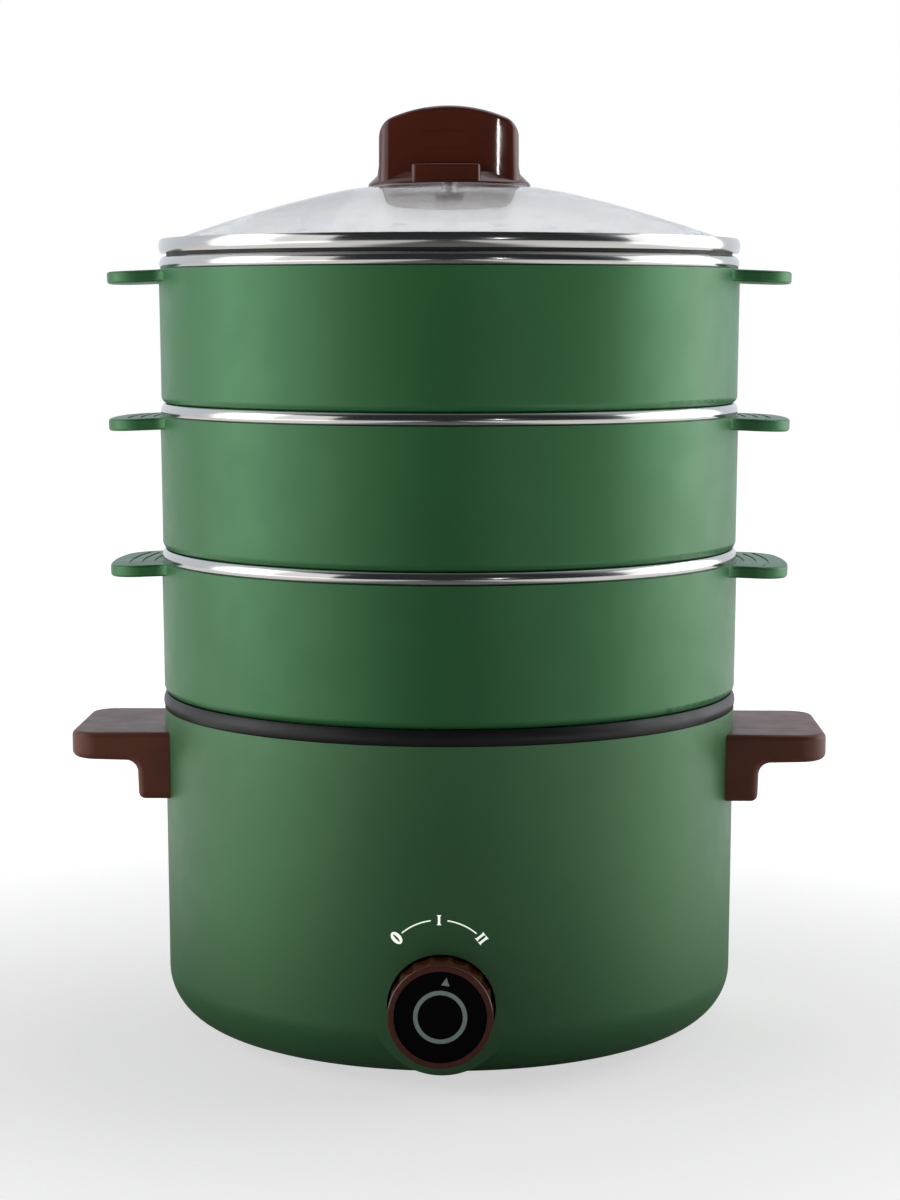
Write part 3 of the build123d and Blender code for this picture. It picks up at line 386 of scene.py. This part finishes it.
# %% [markdown]
# ## Green mouldings of the tiers
# The tiers are injection moulded in a deep green with a satin skin. The mould was
# spark eroded, which leaves grains about a third of a millimetre wide, and long
# slow waves show where the plastic shrank. Small noise gives the grain and large
# noise the waves, which is what breaks up the long vertical highlights. In the
# picture the walls mirror the side lamps partly in their own green, as a pigment
# with metal in it does, so the shader gets a share of metal and a high index.

# %% Satin green plastic
tier_green = (0.028, 0.175, 0.048)
metallic_pigment = 0.3
bright_skin = {"IOR": 1.6}

green_plastic = new_finish(
    "satin_green_plastic", tier_green, roughness=0.4, metallic=metallic_pigment, more=bright_skin
)
vary(green_plastic, noise(green_plastic, scale=60, detail=3), low=0.37, high=0.44)
tint(
    green_plastic, noise(green_plastic, scale=12, detail=2),
    first=shade(tier_green, 0.95), second=shade(tier_green, 1.05),
)
relief(green_plastic, noise(green_plastic, scale=2800, detail=1), height=0.00001, strength=0.5)
relief(green_plastic, noise(green_plastic, scale=25, detail=1), height=0.0001, strength=0.35)
dress(green_plastic, "green_plastic")

# %% [markdown]
# ## Paint of the base
# The base wears a flatter green with a trace of grey in it, sprayed and baked. Wet
# paint pulls into low hills a millimetre or so apart, called orange peel. They are
# far too small to model, so a bump carries them.

# %% Baked green paint
base_green = (0.06, 0.2, 0.072)

green_paint = new_finish(
    "baked_green_paint", base_green, roughness=0.43, metallic=metallic_pigment, more=bright_skin
)
vary(green_paint, noise(green_paint, scale=80, detail=3), low=0.4, high=0.47)
tint(
    green_paint, noise(green_paint, scale=10, detail=2),
    first=shade(base_green, 0.95), second=shade(base_green, 1.05),
)
relief(green_paint, noise(green_paint, scale=900, detail=2), height=0.00002, strength=0.5)
dress(green_paint, "green_paint")

# %% [markdown]
# ## Black mouldings
# The ring under the lowest tier, the bottom cover, the switch and the mains inlet
# are black nylon with a satin grain. Handling polishes it in patches, so slow
# noise moves the roughness more than on the green.

# %% Satin black nylon
nylon_black = (0.009, 0.009, 0.009)

black_nylon = new_finish(
    "satin_black_nylon", nylon_black, roughness=0.42, more={"Specular IOR Level": 0.35}
)
vary(black_nylon, noise(black_nylon, scale=45, detail=3), low=0.36, high=0.48)
relief(black_nylon, noise(black_nylon, scale=2400, detail=1), height=0.000015, strength=0.6)
dress(black_nylon, "black_plastic")

# %% [markdown]
# ## Non-stick coat of the pot
# The pot is coated with a dark grey fluoropolymer with pale flecks in it. Voronoi
# cells, a millimetre and a half apart, are cut off near their centres, which gives
# thinly scattered round flecks up to half a millimetre across.

# %% Flecked non-stick coat
coat_grey = (0.03, 0.03, 0.033)
fleck_grey = (0.2, 0.2, 0.21)
fleck_edge = (0.12, 0.2)

nonstick = new_finish("flecked_nonstick_coat", coat_grey, roughness=0.4)
cells = pattern_node(nonstick, "ShaderNodeTexVoronoi", {"Scale": 700})
tint(nonstick, cells.outputs["Distance"], first=fleck_grey, second=coat_grey, ends=fleck_edge)
vary(nonstick, noise(nonstick, scale=50, detail=2), low=0.36, high=0.46)
dress(nonstick, "nonstick")

# %% [markdown]
# ## Polished steel of the trays and the lid's edge
# The bands between the tiers are the rolled rims of steel trays, spun on a lathe
# and polished. Polishing leaves fine lines that run round the rim, so the noise is
# squeezed hard along Z and not at all in plan. Rolling also leaves the band a
# little wavy, which makes its reflections wander.

# %% Polished steel
steel_grey = (0.55, 0.54, 0.52)
polishing_lines = (1, 1, 60)
finest_lines = (1, 1, 120)

polished_steel = new_finish("polished_steel", steel_grey, roughness=0.13, metallic=1.0)
wide_lines = noise(polished_steel, scale=20, detail=3, stretch=polishing_lines)
vary(polished_steel, wide_lines, low=0.1, high=0.18)
thin_lines = noise(polished_steel, scale=25, detail=1, stretch=finest_lines)
relief(polished_steel, thin_lines, height=0.000004, strength=0.4)
relief(polished_steel, noise(polished_steel, scale=18, detail=2), height=0.00025, strength=0.3)
dress(polished_steel, "polished_steel")

# %% [markdown]
# ## Plain metals inside and below
# Screws, shaft, posts, heater and thermostat are bright steel, whose gloss a fine
# grain breaks up. The shield is aluminium from the mill, with its rolling lines
# along X, so its noise is squeezed along Y and Z. The nut and the blades of the
# inlet are brass that has begun to dull.

# %% Bright steel, aluminium and brass
bar_steel = new_finish("bright_bar_steel", (0.56, 0.56, 0.55), roughness=0.3, metallic=1.0)
vary(bar_steel, noise(bar_steel, scale=300, detail=3), low=0.24, high=0.38)
relief(bar_steel, noise(bar_steel, scale=900, detail=2), height=0.00001, strength=0.4)
dress(bar_steel, "steel")

rolling_lines = (1, 40, 40)
mill_aluminium = new_finish("mill_aluminium", (0.75, 0.75, 0.76), roughness=0.35, metallic=1.0)
mill_gloss = noise(mill_aluminium, scale=40, detail=3, stretch=rolling_lines)
vary(mill_aluminium, mill_gloss, low=0.28, high=0.45)
mill_grooves = noise(mill_aluminium, scale=40, detail=2, stretch=rolling_lines)
relief(mill_aluminium, mill_grooves, height=0.00001, strength=0.4)
dress(mill_aluminium, "aluminium")

dark_brass, bright_brass = (0.5, 0.34, 0.13), (0.68, 0.5, 0.22)
dull_brass = new_finish("dull_brass", (0.62, 0.45, 0.18), roughness=0.3, metallic=1.0)
tint(dull_brass, noise(dull_brass, scale=400, detail=3), first=dark_brass, second=bright_brass)
vary(dull_brass, noise(dull_brass, scale=250, detail=2), low=0.24, high=0.4)
dress(dull_brass, "brass")

# %% [markdown]
# ## Brown handles
# The handles are a dark red brown plastic with a satin skin. Dark mouldings vary a
# little in colour where the plastic flowed, so slow noise moves the colour too.

# %% Satin brown plastic
handle_brown = (0.17, 0.05, 0.03)

brown_plastic = new_finish(
    "satin_brown_plastic", handle_brown, roughness=0.4, more={"Specular IOR Level": 0.3}
)
vary(brown_plastic, noise(brown_plastic, scale=70, detail=3), low=0.36, high=0.46)
tint(
    brown_plastic, noise(brown_plastic, scale=30, detail=2),
    first=shade(handle_brown, 0.88), second=shade(handle_brown, 1.12),
)
relief(brown_plastic, noise(brown_plastic, scale=2600, detail=1), height=0.00001, strength=0.5)
dress(brown_plastic, "brown_plastic")

# %% [markdown]
# ## Brown dial and knob
# The dial and the lid's knob are a deeper shade of the same brown out of a polished
# mould, so they mirror the lamps as thin lines. The skin of such a moulding isn't
# quite flat, so a low wave keeps those lines from looking ruled.

# %% Polished brown plastic
knob_brown = (0.13, 0.03, 0.016)

brown_gloss = new_finish("polished_brown_plastic", knob_brown, roughness=0.05)
vary(brown_gloss, noise(brown_gloss, scale=90, detail=2), low=0.035, high=0.07)
tint(
    brown_gloss, noise(brown_gloss, scale=30, detail=2),
    first=shade(knob_brown, 0.9), second=shade(knob_brown, 1.1),
)
relief(brown_gloss, noise(brown_gloss, scale=60, detail=1), height=0.00006, strength=0.25)
dress(brown_gloss, "brown_gloss")

# %% [markdown]
# ## Black face of the dial
# A disc of black acrylic with the faint haze of a wiped surface. In the picture it
# mirrors next to nothing, so its specular level is low.

# %% Black acrylic
acrylic_black = (0.004, 0.004, 0.005)

black_acrylic = new_finish(
    "black_acrylic", acrylic_black, roughness=0.2, more={"Specular IOR Level": 0.05}
)
vary(black_acrylic, noise(black_acrylic, scale=150, detail=3), low=0.16, high=0.28)
relief(black_acrylic, noise(black_acrylic, scale=40, detail=1), height=0.00003, strength=0.2)
dress(black_acrylic, "dial_black")

# %% [markdown]
# ## Glass of the lid
# Clear tempered glass. Its own thickness is in the solid, so the shader only needs
# full transmission and the index of soda glass. In the picture even the flattest
# view over the dome mirrors weakly, so a third of the light goes straight past the
# shader. Tempering leaves a slow ripple and washing a faint haze, and both stop the
# reflections from being perfect.

# %% Tempered glass
glass_tint = (0.97, 0.975, 0.97)
clear_as_glass = {"Transmission Weight": 1.0, "IOR": 1.52, "Alpha": 0.65}

glass = new_finish("tempered_glass", glass_tint, roughness=0.02, more=clear_as_glass)
vary(glass, noise(glass, scale=60, detail=2), low=0.01, high=0.04)
relief(glass, noise(glass, scale=20, detail=1), height=0.00008, strength=0.2)
dress(glass, "lid_glass")

# %% [markdown]
# ## Silicone and rubber
# The lid's ring is black silicone, with a dusty sheen at its edges that a sheen
# layer gives. The washer under the knob is the clear kind, milky rather than see
# through. The feet are matt rubber with a coarser grain.

# %% Soft parts
silicone_black = (0.01, 0.01, 0.01)
dusty = {"Sheen Weight": 0.1}
black_silicone = new_finish("black_silicone", silicone_black, roughness=0.55, more=dusty)
vary(black_silicone, noise(black_silicone, scale=80, detail=3), low=0.48, high=0.62)
relief(black_silicone, noise(black_silicone, scale=1800, detail=2), height=0.00002, strength=0.5)
dress(black_silicone, "black_silicone")

silicone_white = (0.8, 0.8, 0.78)
milky = {"Transmission Weight": 0.7, "IOR": 1.41}
clear_silicone = new_finish("clear_silicone", silicone_white, roughness=0.35, more=milky)
vary(clear_silicone, noise(clear_silicone, scale=200, detail=2), low=0.3, high=0.45)
dress(clear_silicone, "clear_silicone")

foot_rubber = new_finish("foot_rubber", (0.015, 0.015, 0.015), roughness=0.75)
vary(foot_rubber, noise(foot_rubber, scale=150, detail=3), low=0.68, high=0.85)
relief(foot_rubber, noise(foot_rubber, scale=1200, detail=3), height=0.00004, strength=0.6)
dress(foot_rubber, "foot_rubber")

# %% [markdown]
# ## Wires
# Hook-up wire with silicone insulation, soft looking and slightly dusty, so it is
# rough and its colour wanders a little. The earth wire is green with yellow
# patches, which a plain noise stretched along Z gives.

# %% Wire insulation
wire_colours = {
    "brown_wire": (0.16, 0.06, 0.025),
    "blue_wire": (0.03, 0.12, 0.5),
    "green_yellow_wire": (0.1, 0.4, 0.03),
}
earth_yellow = (0.75, 0.6, 0.02)
earth_patches = (1, 1, 0.4)
for slot_name, colour in wire_colours.items():
    insulation = new_finish("insulation_" + slot_name, colour, roughness=0.5)
    vary(insulation, noise(insulation, scale=300, detail=2), low=0.42, high=0.58)
    if slot_name == "green_yellow_wire":
        patches = noise(insulation, scale=250, detail=0, stretch=earth_patches)
        tint(insulation, patches, first=colour, second=earth_yellow)
    else:
        wander = noise(insulation, scale=40, detail=1)
        tint(insulation, wander, first=shade(colour, 0.85), second=shade(colour, 1.1))
    dress(insulation, slot_name)

# %% [markdown]
# The thermal fuse sits in a woven glass sleeve, whose weave is two crossed sets of
# fine waves.

# %% Woven sleeve
sleeve_white = (0.78, 0.76, 0.7)
crossed_waves = {"Scale": 900, "Distortion": 0.0}

woven_sleeve = new_finish("woven_glass_sleeve", sleeve_white, roughness=0.65)
weave = pattern_node(woven_sleeve, "ShaderNodeTexMagic", crossed_waves, turbulence_depth=0)
relief(woven_sleeve, weave.outputs["Fac"], height=0.0002, strength=0.8)
vary(woven_sleeve, noise(woven_sleeve, scale=400, detail=2), low=0.6, high=0.8)
dress(woven_sleeve, "fuse_sleeve")

print("solids without a finish:", sorted(set(nodes) - dressed))

# %% [markdown]
# ## Printed scale of the dial
# Above the dial the base carries a printed scale: 0, I and II with an arc between
# each pair. Ink has no thickness that shows, but it bends with the wall. Each mark
# is therefore a small grid in flat print coordinates, across and up from the
# scale's centre, which is then laid on the wall. The wall leans in a little on its
# way down, and the print has to lean with it.

# %% Lay flat print on the wall
_, housing_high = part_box("housing")
dial_low, dial_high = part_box("dial_face")
wall_top_radius = housing_high.x
wall_top = housing_high.z
wall_height = 0.1224
wall_narrowing = 0.0010
wall_draft = wall_narrowing / wall_height
ink_lift = 0.00003
dial_centre = (dial_low.z + dial_high.z) / 2
scale_above_dial = 0.014
scale_centre = dial_centre + scale_above_dial
scale_side = -0.0009
scale_radius = 0.0242
print("scale centre", round(scale_centre, 4), "wall top", round(wall_top, 4))


def on_wall(across, up):
    """Points on the leaning wall.

    The wall's radius falls in step with the depth below its top, and Y is what X
    leaves of the radius, by Pythagoras.
    """
    height = scale_centre + up
    radius = wall_top_radius - (wall_top - height) * wall_draft + ink_lift
    return np.stack([across, -np.sqrt(radius ** 2 - across ** 2), height], axis=-1)


def turned(across, up, angle, lean):
    """Turns a mark by its lean, then moves it to its angle on the scale's circle.

    Both are clockwise, in degrees, and the angle counts from the top.
    """
    place, turn = math.radians(angle), math.radians(lean)
    moved_across = across * math.cos(turn) + up * math.sin(turn) + scale_radius * math.sin(place)
    moved_up = up * math.cos(turn) - across * math.sin(turn) + scale_radius * math.cos(place)
    return moved_across + scale_side, moved_up


# %% [markdown]
# A printed piece is several such grids in one mesh. The points of a grid are
# numbered row by row, so its quads follow from the numbers alone. Solidify then
# thickens the mesh equally to both sides, which leaves the ink a hundredth of a
# millimetre clear of the wall, so that the two never flicker through each other.

# %% Make a printed piece of grids
ink_thickness = 0.00004


def by_row(first, last, count):
    """Evenly spaced numbers, one for each row of a grid."""
    return np.linspace(first, last, count)[:, None]


def by_column(first, last, count):
    """Evenly spaced numbers, one for each column of a grid."""
    return np.linspace(first, last, count)[None, :]


def grid_faces(rows, columns):
    """Quads of a grid whose points are numbered along each row."""
    number = np.arange(rows * columns).reshape(rows, columns)
    corners = [number[:-1, :-1], number[:-1, 1:], number[1:, 1:], number[1:, :-1]]
    return np.stack(corners, axis=-1).reshape(-1, 4)


def printed(name, grids, body, finish):
    """One piece of several grids, made a film of ink that rides on a body."""
    points, faces, count = [], [], 0
    for grid in grids:
        points.append(grid.reshape(-1, 3))
        faces.append(grid_faces(*grid.shape[:2]) + count)
        count += points[-1].shape[0]
    mesh = bpy.data.meshes.new(name)
    mesh.from_pydata(np.concatenate(points).tolist(), [], np.concatenate(faces).tolist())
    mesh.materials.append(finish)
    piece = put(name, mesh)
    film = piece.modifiers.new("film", "SOLIDIFY")
    film.thickness = ink_thickness
    film.offset = 0
    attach(piece, body)
    print(name, count, "points, facing", [round(part, 2) for part in mesh.polygons[0].normal])


# %% [markdown]
# The letters are serif capitals. A stem is a ribbon along its height whose half
# width flares out at both ends, and the 0 is the band between an outer ellipse
# and a narrow inner one.

# %% Shapes of the marks
letter_height = 0.0043
stem_half_width = 0.0005
serif_length = 0.00035
arc_half_width = 0.00026
zero_inner_across, zero_outer_across = 0.00048, 0.00195
zero_inner_up, zero_outer_up = 0.0022, 0.0030


def stem(middle, angle, lean):
    """Ribbon from foot to head.

    Its height follows a sine, so that rows are closer near both ends. Its half
    width is multiplied there by one plus a bell curve of the distance to the end.
    """
    up = letter_height / 2 * np.sin(math.pi * (by_row(0, 1, count=33) - 0.5))
    flare = 1 + np.exp(-((letter_height / 2 - np.abs(up)) / serif_length) ** 2)
    across = middle + by_column(-1, 1, count=5) * stem_half_width * flare
    return on_wall(*turned(across, np.broadcast_to(up, across.shape), angle, lean))


def arc(start, end):
    """Thin band of the scale's circle between two angles, its ends cut square."""
    angle = np.radians(by_row(start, end, count=49))
    radius = scale_radius + by_column(-arc_half_width, arc_half_width, count=3)
    return on_wall(radius * np.sin(angle) + scale_side, radius * np.cos(angle))


def zero(angle, lean):
    """Band between an outer ellipse and a slot-like inner one, both swept by the same angle."""
    sweep = by_row(0, 2 * math.pi, count=65)
    step = by_column(0, 1, count=4)
    half_across = zero_inner_across + (zero_outer_across - zero_inner_across) * step
    half_up = zero_inner_up + (zero_outer_up - zero_inner_up) * step
    return on_wall(*turned(half_across * np.sin(sweep), half_up * np.cos(sweep), angle, lean))


# %% [markdown]
# The ink is a pale green white, and it has a painted glow, an emission that keeps it bright on the
# dark middle of the wall, where the lamps leave it in shade. Its two outer marks lean outwards as
# they follow the circle.

# %% Print 0, I, II and the arcs
mark_angle = 48.5
zero_lean = -43
two_lean = 52
two_half_gap = 0.00105
arc_start, arc_end = 8.5, 41

# Painted glow: the ink emits light of its own, which real ink doesn't, so that it stays bright
# where the wall lies in shade.
painted_ink_glow = {"Emission Color": (0.95, 1.0, 0.9, 1), "Emission Strength": 0.8}
pale_ink_painted_glow = new_finish("pale_ink_painted_glow", (0.8, 0.86, 0.74), roughness=0.5, more=painted_ink_glow)
vary(pale_ink_painted_glow, noise(pale_ink_painted_glow, scale=500, detail=2), low=0.45, high=0.6)
pale_specks = noise(pale_ink_painted_glow, scale=1500, detail=2)
tint(pale_ink_painted_glow, pale_specks, first=(0.76, 0.83, 0.7), second=(0.86, 0.9, 0.8))
scale_marks = [
    zero(-mark_angle, zero_lean),
    stem(0, 0, 0),
    stem(-two_half_gap, mark_angle, two_lean),
    stem(two_half_gap, mark_angle, two_lean),
    arc(-arc_end, -arc_start),
    arc(arc_start, arc_end),
]
printed("dial_scale_print", scale_marks, "base", pale_ink_painted_glow)

# %% [markdown]
# The dial's own marks are a plain grey ring and a small pointer. They are printed
# flat on the acrylic face, so here only across and up matter. The ring is a band
# between two circles, and the pointer a ribbon whose half width shrinks evenly to
# nothing at its tip.

# %% Shapes of the ring and the pointer
ring_inner, ring_outer = 0.00955, 0.0114
pointer_radius = 0.0155
pointer_turn = math.radians(9.0)
pointer_height = 0.0036
pointer_half_width = 0.00175


def on_face(across, up):
    """Points on the flat front of the dial, all at one depth just in front of it."""
    depth = np.full(across.shape, dial_low.y - ink_lift)
    return np.stack([across, depth, dial_centre + up], axis=-1)


sweep = by_row(0, 2 * math.pi, count=129)
ring_radius = by_column(ring_inner, ring_outer, count=3)
ring_grid = on_face(ring_radius * np.sin(sweep), ring_radius * np.cos(sweep))

rise = by_row(-0.5, 0.5, count=9)
flat_across = by_column(-1, 1, count=5) * (pointer_half_width * (0.5 - rise))
flat_up = np.broadcast_to(pointer_radius + pointer_height * rise, flat_across.shape)
pointer_grid = on_face(
    flat_across * math.cos(pointer_turn) + flat_up * math.sin(pointer_turn),
    flat_up * math.cos(pointer_turn) - flat_across * math.sin(pointer_turn),
)

# %% [markdown]
# Both are in a grey green ink, duller than that of the scale, and ride on the dial.

# %% Print the ring and pointer of the dial
grey_ink = new_finish("grey_ink", (0.42, 0.55, 0.5), roughness=0.5)
vary(grey_ink, noise(grey_ink, scale=500, detail=2), low=0.45, high=0.6)
grey_specks = noise(grey_ink, scale=1500, detail=2)
tint(grey_ink, grey_specks, first=(0.4, 0.52, 0.47), second=(0.45, 0.58, 0.53))
printed("dial_ring_print", [ring_grid], "dial", grey_ink)
printed("dial_pointer_print", [pointer_grid], "dial", grey_ink)
